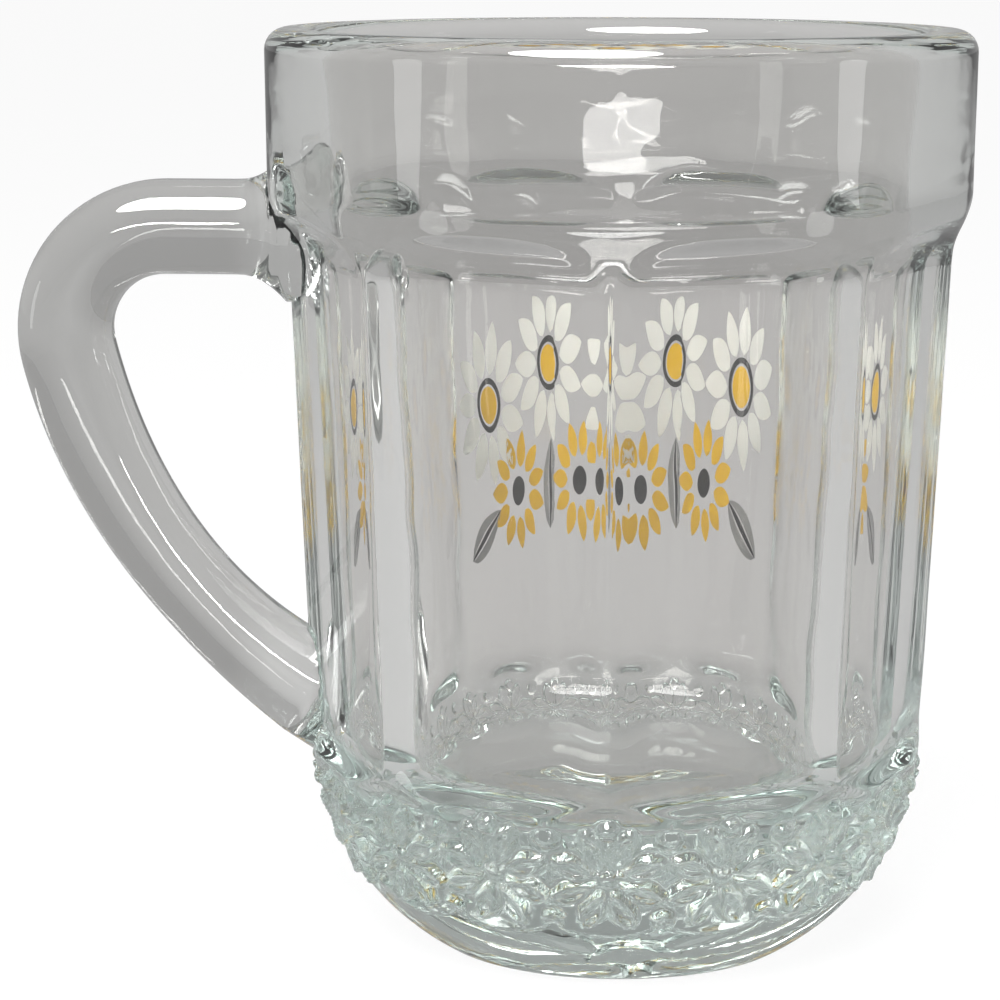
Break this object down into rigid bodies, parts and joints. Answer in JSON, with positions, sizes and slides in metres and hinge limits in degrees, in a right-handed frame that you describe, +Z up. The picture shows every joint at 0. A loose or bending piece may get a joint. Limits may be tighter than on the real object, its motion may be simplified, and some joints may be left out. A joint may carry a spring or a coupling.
{
  "type": "handled shot glass",
  "caption": "Small pressed glass tankard with flat panels, a band of pressed daisies, a heavy base, a curved glass handle and an enamel flower print; stands on a flat ring.",
  "frame": {"origin": "on the bowl's axis at the standing plane, in the middle of the standing ring", "axes": "+Z up along the bowl's axis, the handle at -X, the print on the +Y wall"},
  "size_m": [0.0675, 0.0496, 0.065],
  "materials": {
    "clear_glass": "polished",
    "white_enamel": "gloss",
    "yellow_enamel": "gloss",
    "grey_enamel": "gloss",
    "black_enamel": "gloss"
  },
  "bodies": {
    "root": {"bowl": "clear_glass", "handle": "clear_glass", "print_white": "white_enamel", "print_yellow": "yellow_enamel", "print_grey": "grey_enamel", "print_black": "black_enamel"}
  },
  "joints": []
}
